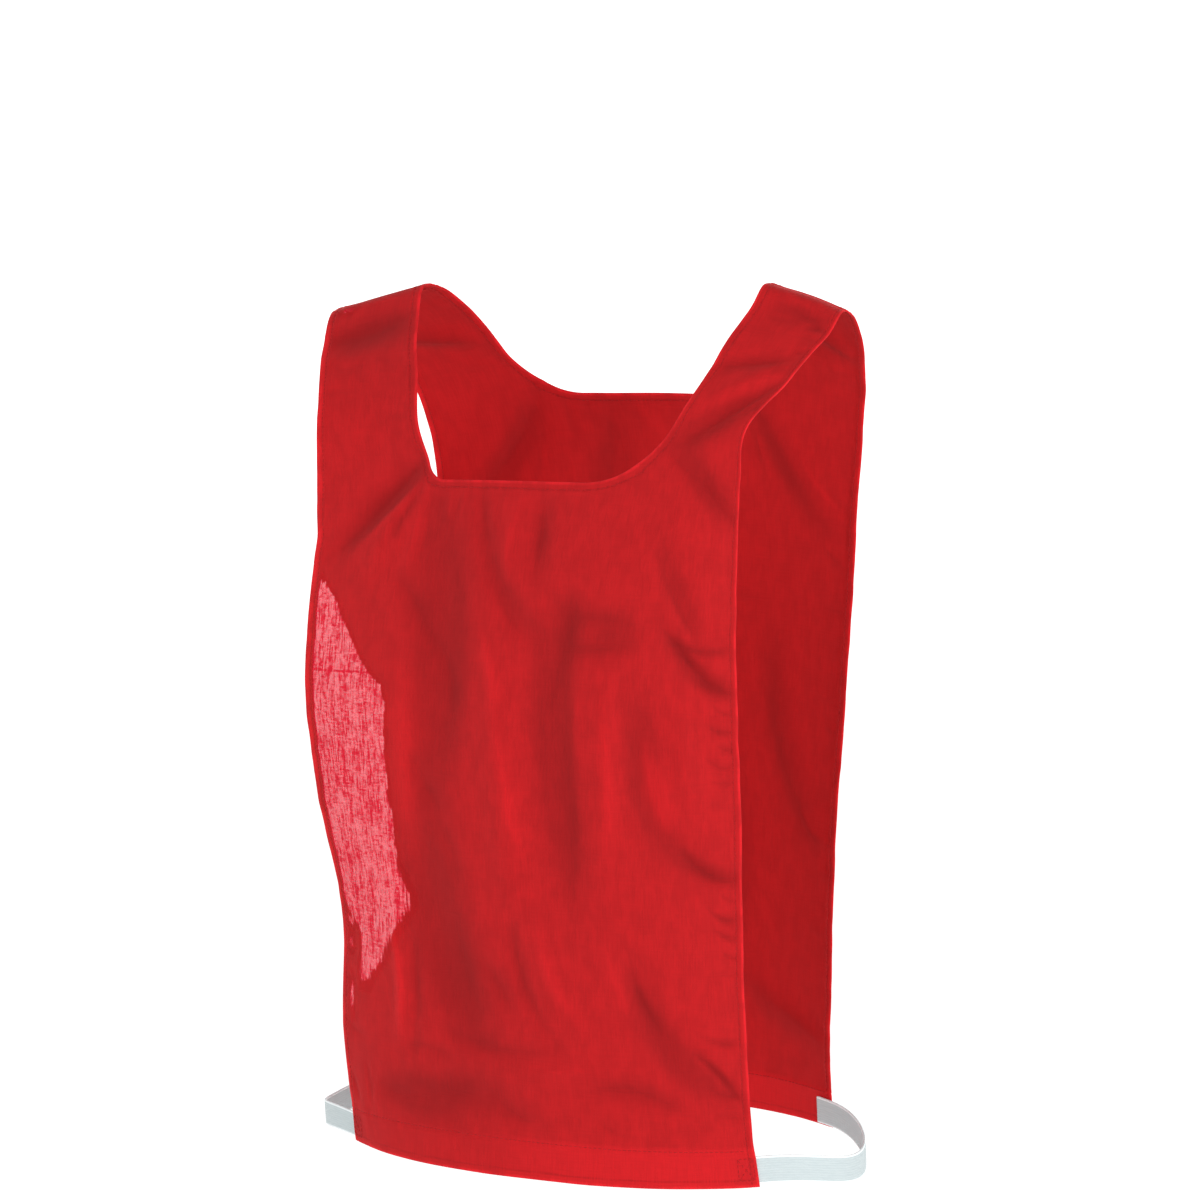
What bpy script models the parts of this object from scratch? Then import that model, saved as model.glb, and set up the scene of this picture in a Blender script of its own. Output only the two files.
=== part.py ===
"""Training bib, worn: a front and a back panel of thin cotton, each cut in one with its two shoulder straps, sewn
together across the shoulders and held at the hem by a flat elastic on each side.

Frame: metres, +Z up, the wearer faces -Y and the wearer's left is +X. The origin is on the shoulder seams' plane,
on the wearer's middle line, at the height of the straps' middle.

Every point of a panel is worked out from its place on the flat cut: x across from the middle line and t down from
the shoulder seam. A short table of sections gives the worn form, and a table of folds gives the creases."""

from collections import namedtuple

import bpy
import numpy as np

MM = 0.001

# The cut of a panel, finished size
HALF_WIDTH = 155 * MM
LENGTH = 575 * MM
STRAP_WIDTH = 62 * MM  # at the shoulder seam
NECK_HALF = 72.5 * MM  # half the width of the neckline's lower edge
SIDE_HEM = 6.5 * MM  # also round the neckline
BOTTOM_HEM = 25 * MM

# The wall: outside is the cloth's face, and the hems are turned to the inside
WALL = 1.2 * MM
HEM_WALL = 2.2 * MM
HEM_STEP = 0.6 * MM  # width over which the wall changes
GAP = 0.3 * MM  # between pieces

ELASTIC_WIDTH = 18 * MM
ELASTIC_THICK = 1.2 * MM
ELASTIC_ABOVE_HEM = 1.5 * MM
ELASTIC_INSIDE = 15 * MM  # length caught behind each hem
ELASTIC_LEAVE = 6 * MM  # length past each hem's end before it turns round the hip
ELASTIC_END_STEPS = 8
ELASTIC_HIP_STEPS = 26
ELASTIC_SAG = 10 * MM  # at the hip's side
HIP_HALF_WIDTH = 190 * MM  # a general figure's hip at the hem, as an ellipse round the cloth's face
HIP_HALF_DEPTH = 108 * MM
HIP_MIDDLE = -5 * MM

SIDE_POWER = 2.3  # how sharply a panel turns back towards its side edges
SHOULDER_DEPTH = 100 * MM  # down to here a section drops in a straight line, as a shoulder does, and then in a curve
FOLD_STEPS = 25  # points along a fold's line
FOLD_END = 0.1  # share of a fold's half wave that is cut off at each end
FOLD_EDGE = 3.0  # a fold has died out to exp(-FOLD_EDGE) at its width
SLOPE_STEP = 0.5 * MM  # for the cloth's normals
TINY = 0.01 * MM

# A section across a panel at one height of the cut, in mm. out is how far the middle stands in front of the shoulder
# seams' plane (behind it on the back) and height its Z. half and edge are the distances from the middle line at half
# the panel's half width and at its side edge, back is how far the edge stands behind the middle, and drop how far
# it hangs below it. left is the wearer's left.
Section = namedtuple(
    "Section", "down out height half_left edge_left half_right edge_right back_left back_right drop_left drop_right"
)
FRONT_SECTIONS = (
    Section(0, 0, 35, 104, 170, 100, 187, 0, 0, 42, 42),
    Section(12, 12, 30, 106, 172, 99, 184, 0, 0, 39, 39),
    Section(30, 25, 8, 106, 171, 99, 180, -1, 0, 28, 28),
    Section(50, 38, -19, 100, 165, 97, 175, -2, -1, 13, 15),
    Section(75, 53, -46, 95, 154, 92, 168, -2, -2, 4, 6),
    Section(105, 68, -75, 86, 135, 88, 160, 0, -3, 1, 2),
    Section(141, 84, -107, 83, 133, 76, 156, 10, 5, 2, 2),
    Section(178, 98, -142, 80, 132, 76, 153, 23, 14, 2, 2),
    Section(224, 108, -187, 77, 132, 78, 158, 31, 22, 2, 3),
    Section(279, 114, -242, 75, 133, 80, 162, 37, 29, 2, 3),
    Section(344, 113, -307, 74, 134, 79, 157, 40, 33, 2, 3),
    Section(424, 110, -387, 74, 134, 76, 142, 41, 36, 2, 3),
    Section(499, 107, -462, 75, 136, 75, 144, 41, 36, 2, 3),
    Section(550, 106, -513, 77, 139, 75, 140, 43, 38, 1, 2),
    Section(575, 106, -538, 77, 142, 75, 138, 45, 40, 0, 0),
)
BACK_SECTIONS = (
    Section(0, 0, 35, 104, 170, 100, 187, 0, 0, 42, 42),
    Section(12, 12, 30, 103, 170, 100, 185, 0, 0, 40, 40),
    Section(33, 30, 13, 101, 168, 98, 178, 0, 0, 33, 33),
    Section(74, 60, -27, 94, 161, 93, 168, 3, 3, 18, 18),
    Section(125, 85, -75, 85, 153, 85, 158, 12, 12, 12, 12),
    Section(182, 98, -133, 79, 148, 80, 152, 22, 22, 7, 7),
    Section(242, 103, -194, 77, 146, 78, 150, 29, 29, 4, 4),
    Section(302, 104, -255, 76, 143, 77, 148, 33, 33, 3, 3),
    Section(392, 102, -346, 75, 139, 76, 144, 36, 36, 2, 2),
    Section(480, 101, -434, 75, 137, 75, 141, 36, 36, 2, 2),
    Section(550, 101, -505, 75, 137, 75, 140, 35, 35, 1, 1),
    Section(575, 102, -530, 75, 137, 75, 140, 33, 33, 0, 0),
)

# A fold runs in a curve from one point of the cut through a middle one to a third, in mm with x to the wearer's
# left and down from the shoulder seam. width is from its line to where it has nearly died out, and height is how far
# it moves the cloth, outwards for a ridge and inwards, below 0, for a trough.
Fold = namedtuple("Fold", "start_x start_down middle_x middle_down end_x end_down width height")
FRONT_FOLDS = (
    # the strap on the wearer's right, and the crease from the neckline's sharp corner
    Fold(-148, 46, -120, 43, -92, 40, 20, -2.5),
    Fold(-78, 131, -104, 160, -137, 192, 16, -4),
    Fold(-80, 152, -96, 177, -112, 206, 15, 2),
    # the strap on the wearer's left, drawn together
    Fold(84, 66, 112, 62, 146, 58, 10, -2.5),
    Fold(84, 114, 110, 101, 147, 78, 18, -4.5),
    Fold(90, 90, 112, 80, 135, 70, 13, 2),
    Fold(88, 120, 118, 145, 151, 168, 16, -3.5),
    # hanging from the chest
    Fold(-62, 165, -51, 250, -58, 335, 30, -5),
    Fold(-70, 350, -58, 415, -30, 485, 36, -5),
    Fold(-10, 255, -8, 340, 4, 420, 22, 3.5),
    Fold(-32, 155, -17, 202, 18, 243, 12, -2.5),
    Fold(8, 155, 10, 180, 12, 205, 11, -2),
    Fold(30, 222, 26, 300, 38, 388, 22, -4.5),
    Fold(45, 238, 62, 237, 80, 236, 20, -2),
    Fold(62, 255, 60, 320, 62, 400, 20, 2.5),
    # drawn to the wearer's left side
    Fold(84, 172, 104, 205, 126, 238, 14, -2),
    Fold(98, 230, 124, 258, 151, 271, 12, -3.5),
    Fold(112, 280, 116, 310, 122, 342, 16, 3),
    Fold(84, 275, 90, 330, 110, 368, 22, -4),
    Fold(108, 366, 128, 378, 152, 383, 12, -3),
    Fold(80, 445, 102, 490, 146, 520, 20, -3.5),
    # above the bottom hem
    Fold(45, 522, 76, 516, 112, 530, 14, -2),
    Fold(-62, 520, -30, 525, 5, 536, 24, -2.5),
)
BACK_FOLDS = (
    Fold(-146, 50, -118, 57, -90, 66, 13, -2.5),
    Fold(88, 44, 116, 52, 148, 66, 13, -2.5),
    Fold(68, 112, 94, 150, 130, 190, 17, -3.5),
    Fold(-70, 112, -94, 146, -128, 182, 17, -4),
    Fold(-20, 125, -30, 215, -22, 310, 28, -4.5),
    Fold(34, 135, 27, 240, 43, 345, 26, -4),
    Fold(6, 180, 4, 270, 14, 360, 21, 3),
    Fold(43, 345, 54, 420, 40, 500, 30, -4),
    Fold(-22, 310, -44, 400, -38, 492, 32, -4),
    Fold(-84, 240, -86, 320, -106, 392, 22, -3),
    Fold(90, 262, 99, 330, 134, 392, 20, -3.5),
    Fold(-70, 455, -100, 490, -144, 512, 18, -3),
    Fold(64, 482, 96, 505, 146, 522, 17, -2.5),
)

# A panel's own cut and form. face is -1 for the front and 1 for the back, and corner gives the neckline's two
# corner radii, on the wearer's left and right.
Panel = namedtuple("Panel", "name face neck_depth corner_left corner_right sections folds pitch")
FRONT = Panel("front_panel", -1, 145 * MM, 45 * MM, 9 * MM, FRONT_SECTIONS, FRONT_FOLDS, 11 * MM)
BACK = Panel("back_panel", 1, 110 * MM, 35 * MM, 35 * MM, BACK_SECTIONS, BACK_FOLDS, 14 * MM)

CLOTH_RED = (0.53, 0.012, 0.016, 1)
ELASTIC_WHITE = (0.80, 0.84, 0.86, 1)


def smooth_table(sections, column, t):
    """One column of a table of sections at t, on a smooth curve through its rows."""
    downs = np.array([s.down for s in sections]) * MM
    values = np.array([getattr(s, column) for s in sections]) * MM
    steps, rises = np.diff(downs), np.diff(values)
    slopes = rises / steps
    inner = (slopes[:-1] * steps[1:] + slopes[1:] * steps[:-1]) / (steps[:-1] + steps[1:])
    ends = np.concatenate([slopes[:1], inner, slopes[-1:]])
    row = np.clip(np.searchsorted(downs, t, side="right") - 1, 0, len(steps) - 1)
    step, a = steps[row], (t - downs[row]) / steps[row]
    rise = a * a * (3 - 2 * a)
    bend = a * (1 - a) * step * (ends[row] * (1 - a) - ends[row + 1] * a)
    return values[row] + rises[row] * rise + bend


def fold_height(folds, x, t):
    """How far all folds move the cloth out at (x, t)."""
    height = np.zeros_like(x)
    a = np.linspace(0, 1, FOLD_STEPS)
    start, through, end = (1 - a) * (1 - 2 * a), 4 * a * (1 - a), a * (2 * a - 1)
    for f in folds:
        path_x = MM * (start * f.start_x + through * f.middle_x + end * f.end_x)
        path_t = MM * (start * f.start_down + through * f.middle_down + end * f.end_down)
        away = (x[..., None] - path_x) ** 2 + (t[..., None] - path_t) ** 2
        near = a[away.argmin(-1)]
        fade = np.sin(np.pi * (FOLD_END + (1 - 2 * FOLD_END) * near))
        height += f.height * MM * fade * np.exp(-FOLD_EDGE * away.min(-1) / (f.width * MM) ** 2)
    return height


def drape(panel, x, t):
    """The worn place of (x, t) before its folds."""
    def column(name):
        return smooth_table(panel.sections, name, t)

    left = x >= 0
    across = np.abs(x) / HALF_WIDTH
    half = np.where(left, column("half_left"), column("half_right"))
    edge = np.where(left, column("edge_left"), column("edge_right"))
    back = np.where(left, column("back_left"), column("back_right"))
    drop = np.where(left, column("drop_left"), column("drop_right"))
    world_x = np.sign(x) * (across * (4 * half - edge) + across**2 * (2 * edge - 4 * half))
    curved = np.clip(t / SHOULDER_DEPTH, 0, 1)
    world_y = column("out") - back * across**SIDE_POWER
    world_z = column("height") - drop * across ** (1 + curved)
    return np.stack([world_x, panel.face * world_y, world_z], -1)


def normals(panel, place, x, t):
    """The outward normals of place, a function of the cut."""
    along_x = place(panel, x + SLOPE_STEP, t) - place(panel, x - SLOPE_STEP, t)
    along_t = place(panel, x, t + SLOPE_STEP) - place(panel, x, np.maximum(t - SLOPE_STEP, 0))
    n = np.cross(along_t, along_x) if panel.face < 0 else np.cross(along_x, along_t)
    return n / np.linalg.norm(n, axis=-1, keepdims=True)


def face_point(panel, x, t):
    """The cloth's outer face at (x, t), with its folds."""
    folds = fold_height(panel.folds, x, t)[..., None]
    return drape(panel, x, t) + folds * normals(panel, drape, x, t)


def below_face(panel, x, t, depth):
    """The point that lies depth inside the outer face at (x, t)."""
    return face_point(panel, x, t) - depth * normals(panel, face_point, x, t)


def strap_inner(panel, t):
    """Distance of the strap's inner edge from the middle line, before the corner is rounded."""
    slant = HALF_WIDTH - STRAP_WIDTH - NECK_HALF
    return NECK_HALF + slant * np.clip(1 - t / panel.neck_depth, 0, 1)


def round_corners(panel, x, t):
    """Moves the cut round the neckline's two corners onto their arcs, fading out into the cloth."""
    radius = np.where(x >= 0, panel.corner_left, panel.corner_right)
    inward = strap_inner(panel, t) - np.abs(x)
    upward = panel.neck_depth - t
    beside = inward <= upward
    along = np.clip(np.where(beside, upward, inward), 0, radius)
    turn = np.pi / 4 * (1 - along / radius)
    off_edge = radius * (1 - np.cos(turn))
    on_edge = radius * (1 - np.sin(turn)) - along
    away = np.hypot(np.minimum(inward, 0), np.minimum(upward, 0))
    fade = np.clip(1 - away / np.minimum(2 * radius, STRAP_WIDTH), 0, 1) ** 2
    sideways = np.where(beside, off_edge, on_edge) * fade
    up = np.where(beside, on_edge, off_edge) * fade
    return x - np.sign(x) * sideways, t - up


def even(start, end, pitch):
    """Evenly spaced values from start to end, about pitch apart."""
    return np.linspace(start, end, max(int(round((end - start) / pitch)), 1) + 1)


def panel_grid(panel):
    """The panel's cut as a grid: x, t, the wall's thickness, and which points are cloth."""
    step_in = SIDE_HEM + HEM_STEP
    strap_rows = even(0, panel.neck_depth, panel.pitch)
    body_rows = even(panel.neck_depth + step_in, LENGTH - BOTTOM_HEM - HEM_STEP, panel.pitch)
    hem_rows = even(LENGTH - BOTTOM_HEM, LENGTH, panel.pitch)
    rows = np.concatenate([strap_rows, [panel.neck_depth + SIDE_HEM], body_rows, hem_rows])
    between = even(0, 1, panel.pitch / (HALF_WIDTH - NECK_HALF - 2 * step_in))
    middle = even(-NECK_HALF, NECK_HALF, panel.pitch)[1:-1]

    inner = strap_inner(panel, rows)[:, None]
    outer_hem = np.broadcast_to([HALF_WIDTH, HALF_WIDTH - SIDE_HEM], (len(rows), 2))
    strap = (HALF_WIDTH - step_in) * (1 - between) + (inner + step_in) * between
    strap = np.hstack([outer_hem, strap, inner + SIDE_HEM, inner])
    x = np.hstack([-strap, np.broadcast_to(middle, (len(rows), len(middle))), strap[:, ::-1]])
    t = np.broadcast_to(rows[:, None], x.shape)

    in_side_hem = np.abs(x) > HALF_WIDTH - SIDE_HEM - TINY
    by_neck = (np.abs(x) < inner + SIDE_HEM + TINY) & (t < panel.neck_depth + SIDE_HEM + TINY)
    in_bottom_hem = t > LENGTH - BOTTOM_HEM - TINY
    wall = np.where(in_side_hem | by_neck | in_bottom_hem, HEM_WALL, WALL)
    cloth = (np.abs(x) > inner - TINY) | (t > panel.neck_depth - TINY)
    x, t = round_corners(panel, x, t)
    return x, t, wall, cloth


def seam_line(panel, points, t):
    """Sets the points of the shoulder seam half a gap from the seam's plane."""
    points[..., 1] = np.where(t < TINY, panel.face * GAP / 2, points[..., 1])
    return points


def shell_faces(cloth):
    """Faces of a closed shell from a grid's quads: an outer layer, an inner layer and the rim round both."""
    rows, columns = cloth.shape
    number = np.full(cloth.shape, -1)
    number[cloth] = np.arange(cloth.sum())
    count = int(cloth.sum())
    faces, edges = [], set()
    for r in range(rows - 1):
        for c in range(columns - 1):
            quad = number[[r, r + 1, r + 1, r], [c, c, c + 1, c + 1]].tolist()
            if min(quad) < 0:
                continue
            faces.append(quad)
            faces.append([q + count for q in reversed(quad)])
            edges.update(zip(quad, quad[1:] + quad[:1]))
    for a, b in sorted(edges):
        if (b, a) not in edges:
            faces.append([b, a, a + count, b + count])
    return faces


def make_material(name, colour, roughness):
    material = bpy.data.materials.new(name)
    material.use_nodes = True
    shader = material.node_tree.nodes["Principled BSDF"]
    shader.inputs["Base Color"].default_value = colour
    shader.inputs["Roughness"].default_value = roughness
    shader.inputs["Metallic"].default_value = 0
    return material


def make_object(name, points, faces, material):
    mesh = bpy.data.meshes.new(name)
    mesh.from_pydata([tuple(p) for p in points], [], faces)
    mesh.validate()
    mesh.materials.append(material)
    mesh.shade_smooth()
    piece = bpy.data.objects.new(name, mesh)
    bpy.context.scene.collection.objects.link(piece)
    return piece


def make_panel(panel, material):
    x, t, wall, cloth = panel_grid(panel)
    outer = seam_line(panel, face_point(panel, x, t), t)[cloth]
    inner = seam_line(panel, below_face(panel, x, t, wall[..., None]), t)[cloth]
    faces = shell_faces(cloth)
    if panel.face > 0:
        faces = [f[::-1] for f in faces]
    return make_object(panel.name, np.vstack([outer, inner]), faces, material)


def elastic_line(side, level, depth):
    """Points along one elastic at a level above the hem, depth inside the panels' outer face, from behind the
    front's hem round the hip to behind the back's hem."""
    reach = np.linspace(-ELASTIC_INSIDE, ELASTIC_LEAVE, ELASTIC_END_STEPS)
    across = side * (HALF_WIDTH + reach)
    down = np.full_like(across, LENGTH - level)
    front = below_face(FRONT, across, down, depth)
    back = below_face(BACK, across, down, depth)[::-1]

    middle = np.array([HIP_MIDDLE, 0])
    axes = np.array([side * (HIP_HALF_WIDTH - depth), HIP_HALF_DEPTH - depth])
    start, stop = [np.arctan2(*((p[:2] - middle) / axes)[::-1]) for p in (front[-1], back[0])]
    share = np.linspace(0, 1, ELASTIC_HIP_STEPS)[:, None]
    angle = start + (stop - start) * share
    hip = middle + axes * np.hstack([np.cos(angle), np.sin(angle)])
    ease_out, ease_in = (1 - share) ** 3, share**3
    plan = hip + (front[-1, :2] - hip[0]) * ease_out + (back[0, :2] - hip[-1]) * ease_in
    level_line = front[-1, 2] + (back[0, 2] - front[-1, 2]) * share - ELASTIC_SAG * np.sin(np.pi * share) ** 2
    return np.vstack([front[:-1], np.hstack([plan, level_line]), back[1:]])


def make_elastic(name, side, material):
    near = HEM_WALL + GAP
    bottom, top = ELASTIC_ABOVE_HEM, ELASTIC_ABOVE_HEM + ELASTIC_WIDTH
    corners = ((bottom, near), (top, near), (top, near + ELASTIC_THICK), (bottom, near + ELASTIC_THICK))
    rings = np.stack([elastic_line(side, level, depth) for level, depth in corners], 1)
    count = len(rings)
    faces = [[3, 2, 1, 0], [4 * (count - 1) + k for k in range(4)]]
    for ring in range(count - 1):
        for k in range(4):
            a, b = 4 * ring + k, 4 * ring + (k + 1) % 4
            faces.append([a, b, b + 4, a + 4])
    if side > 0:
        faces = [f[::-1] for f in faces]
    return make_object(name, rings.reshape(-1, 3), faces, material)


def main():
    for old in list(bpy.data.objects):
        bpy.data.objects.remove(old)
    cotton = make_material("red_cotton", CLOTH_RED, 0.85)
    elastic = make_material("white_elastic", ELASTIC_WHITE, 0.7)
    make_panel(FRONT, cotton)
    make_panel(BACK, cotton)
    make_elastic("elastic_left", 1, elastic)
    make_elastic("elastic_right", -1, elastic)


main()
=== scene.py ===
"""Training bib, worn: what it looks like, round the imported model.

Every point of a panel is worked out from its place on the flat cut: x across from the middle line to the
wearer's left, and t down from the shoulder seam. The worn form, the cut and the large folds are those of the
part's source. Small creases, hems, seams and stitches are added to them here."""

from collections import namedtuple

import bpy
import numpy as np
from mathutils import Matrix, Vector


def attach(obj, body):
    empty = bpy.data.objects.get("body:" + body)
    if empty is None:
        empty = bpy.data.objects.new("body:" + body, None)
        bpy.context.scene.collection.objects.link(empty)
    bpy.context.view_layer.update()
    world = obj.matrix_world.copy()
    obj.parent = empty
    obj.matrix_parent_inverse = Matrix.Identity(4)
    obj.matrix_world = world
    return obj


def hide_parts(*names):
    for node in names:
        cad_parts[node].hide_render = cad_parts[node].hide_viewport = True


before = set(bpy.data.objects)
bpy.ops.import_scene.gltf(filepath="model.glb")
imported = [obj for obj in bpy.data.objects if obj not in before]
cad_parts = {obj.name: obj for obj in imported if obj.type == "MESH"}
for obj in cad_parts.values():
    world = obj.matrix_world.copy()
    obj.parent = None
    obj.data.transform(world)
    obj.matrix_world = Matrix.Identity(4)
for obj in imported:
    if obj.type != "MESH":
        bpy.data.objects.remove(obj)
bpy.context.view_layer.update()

MM = 0.001

# The cut of a panel, finished size
HALF_WIDTH = 155 * MM
LENGTH = 575 * MM
STRAP_WIDTH = 62 * MM  # at the shoulder seam
NECK_HALF = 72.5 * MM  # half the width of the neckline's lower edge
SIDE_HEM = 6.5 * MM  # also round the neckline
BOTTOM_HEM = 25 * MM

# The worn form
SIDE_POWER = 2.3
SHOULDER_DEPTH = 100 * MM
HIP_HALF_WIDTH = 190 * MM
HIP_HALF_DEPTH = 108 * MM
HIP_MIDDLE = -5 * MM
FOLD_STEPS = 49
FOLD_END = 0.1
FOLD_EDGE = 3.0
FOLD_POWER = 2.0
CREASE_POWER = 1.45  # sharper at its line
FOLD_REACH = 1.5  # a fold is left out beyond this share of its width
SLOPE_STEP = 0.5 * MM
TINY = 0.01 * MM

# The cloth
CLOTH = 0.38 * MM  # one layer
HEM_LAYERS = 1.05 * MM  # a narrow hem, three layers
BOTTOM_LAYERS = 0.95 * MM
HEM_RISE = 0.22 * MM
HEM_FADE = 0.9 * MM
BOTTOM_FADE_IN = 0.3 * MM
BOTTOM_FADE_OUT = 0.8 * MM
HEM_STITCH = 4.8 * MM  # stitch line's distance from the edge
BOTTOM_STITCH = 23.4 * MM
SEAM_ALLOWANCE = 9 * MM  # pressed to the back at the shoulder
SEAM_STITCH = 7 * MM
SEAM_OVERLAP = 0.05 * MM
SEAM_RISE = 0.3 * MM
SEAM_FADE = 1 * MM
SEAM_CLEAR = 1.2 * MM  # where the rise is full
SEAM_SINK = 0.55 * MM
SEAM_SINK_HALF = 1 * MM
GROOVE = 0.34 * MM
GROOVE_HALF = 0.6 * MM
EDGE_ROUND = 0.9 * MM
EDGE_THICK = 0.14 * MM
EDGE_DROP = 0.4 * MM
WAVER = 0.35 * MM  # of the side edges
WAVER_LENGTH = 13 * MM
WAVER_REACH = 12 * MM
# The mesh has a line of points at each of these distances from an edge, the bottom and the shoulder seam
EDGE_LINES = np.array((0, 0.35, 1.2, 2.7, 4.1, 4.8, 5.5, 6.5, 8.0)) * MM
BOTTOM_LINES = (0, 0.35, 1.2, 3, 5.5, 8, 10.5, 13, 15.5, 18, 20.5, 22.6, 23.4, 24.2, 25.2, 26.8)
BOTTOM_LINES = np.array(BOTTOM_LINES) * MM
SEAM_LINES = np.array((0, 0.4, 1, 2, 4, 6.2, 7, 7.8, 9, 10.2)) * MM


def rows(kind, *values):
    """A table whose rows are all of one kind."""
    return tuple(kind(*row) for row in values)


SIDES = "half_left edge_left half_right edge_right back_left back_right drop_left drop_right"
Section = namedtuple("Section", "down out height " + SIDES)
FRONT_SECTIONS = rows(
    Section,
    (0, 0, 35, 104, 170, 100, 187, 0, 0, 42, 42),
    (12, 12, 30, 106, 172, 99, 184, 0, 0, 39, 39),
    (30, 25, 8, 106, 171, 99, 180, -1, 0, 28, 28),
    (50, 38, -19, 100, 165, 97, 175, -2, -1, 13, 15),
    (75, 53, -46, 95, 154, 92, 168, -2, -2, 4, 6),
    (105, 68, -75, 86, 135, 88, 160, 0, -3, 1, 2),
    (141, 84, -107, 83, 133, 76, 156, 10, 5, 2, 2),
    (178, 98, -142, 80, 132, 76, 153, 23, 14, 2, 2),
    (224, 108, -187, 77, 132, 78, 158, 31, 22, 2, 3),
    (279, 114, -242, 75, 133, 80, 162, 37, 29, 2, 3),
    (344, 113, -307, 74, 134, 79, 157, 40, 33, 2, 3),
    (424, 110, -387, 74, 134, 76, 142, 41, 36, 2, 3),
    (499, 107, -462, 75, 136, 75, 144, 41, 36, 2, 3),
    (550, 106, -513, 77, 139, 75, 140, 43, 38, 1, 2),
    (575, 106, -538, 77, 142, 75, 138, 45, 40, 0, 0),
)
BACK_SECTIONS = rows(
    Section,
    (0, 0, 35, 104, 170, 100, 187, 0, 0, 42, 42),
    (12, 12, 30, 103, 170, 100, 185, 0, 0, 40, 40),
    (33, 30, 13, 101, 168, 98, 178, 0, 0, 33, 33),
    (74, 60, -27, 94, 161, 93, 168, 3, 3, 18, 18),
    (125, 85, -75, 85, 153, 85, 158, 12, 12, 12, 12),
    (182, 98, -133, 79, 148, 80, 152, 22, 22, 7, 7),
    (242, 103, -194, 77, 146, 78, 150, 29, 29, 4, 4),
    (302, 104, -255, 76, 143, 77, 148, 33, 33, 3, 3),
    (392, 102, -346, 75, 139, 76, 144, 36, 36, 2, 2),
    (480, 101, -434, 75, 137, 75, 141, 36, 36, 2, 2),
    (550, 101, -505, 75, 137, 75, 140, 35, 35, 1, 1),
    (575, 102, -530, 75, 137, 75, 140, 33, 33, 0, 0),
)

# The large folds, as in the part's source
Fold = namedtuple("Fold", "start_x start_down middle_x middle_down end_x end_down width height")
FRONT_FOLDS = rows(
    Fold,
    (-148, 46, -120, 43, -92, 40, 20, -2.5), (-78, 131, -104, 160, -137, 192, 16, -4),
    (-80, 152, -96, 177, -112, 206, 15, 2), (84, 66, 112, 62, 146, 58, 10, -2.5),
    (84, 114, 110, 101, 147, 78, 18, -4.5), (90, 90, 112, 80, 135, 70, 13, 2),
    (88, 120, 118, 145, 151, 168, 16, -3.5), (-62, 165, -51, 250, -58, 335, 30, -5),
    (-70, 350, -58, 415, -30, 485, 36, -5), (-10, 255, -8, 340, 4, 420, 22, 3.5),
    (-32, 155, -17, 202, 18, 243, 12, -2.5), (8, 155, 10, 180, 12, 205, 11, -2),
    (30, 222, 26, 300, 38, 388, 22, -4.5), (45, 238, 62, 237, 80, 236, 20, -2),
    (62, 255, 60, 320, 62, 400, 20, 2.5), (84, 172, 104, 205, 126, 238, 14, -2),
    (98, 230, 124, 258, 151, 271, 12, -3.5), (112, 280, 116, 310, 122, 342, 16, 3),
    (84, 275, 90, 330, 110, 368, 22, -4), (108, 366, 128, 378, 152, 383, 12, -3),
    (80, 445, 102, 490, 146, 520, 20, -3.5), (45, 522, 76, 516, 112, 530, 14, -2),
    (-62, 520, -30, 525, 5, 536, 24, -2.5),
)
BACK_FOLDS = rows(
    Fold,
    (-146, 50, -118, 57, -90, 66, 13, -2.5), (88, 44, 116, 52, 148, 66, 13, -2.5),
    (68, 112, 94, 150, 130, 190, 17, -3.5), (-70, 112, -94, 146, -128, 182, 17, -4),
    (-20, 125, -30, 215, -22, 310, 28, -4.5), (34, 135, 27, 240, 43, 345, 26, -4),
    (6, 180, 4, 270, 14, 360, 21, 3), (43, 345, 54, 420, 40, 500, 30, -4),
    (-22, 310, -44, 400, -38, 492, 32, -4), (-84, 240, -86, 320, -106, 392, 22, -3),
    (90, 262, 99, 330, 134, 392, 20, -3.5), (-70, 455, -100, 490, -144, 512, 18, -3),
    (64, 482, 96, 505, 146, 522, 17, -2.5),
)

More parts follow.
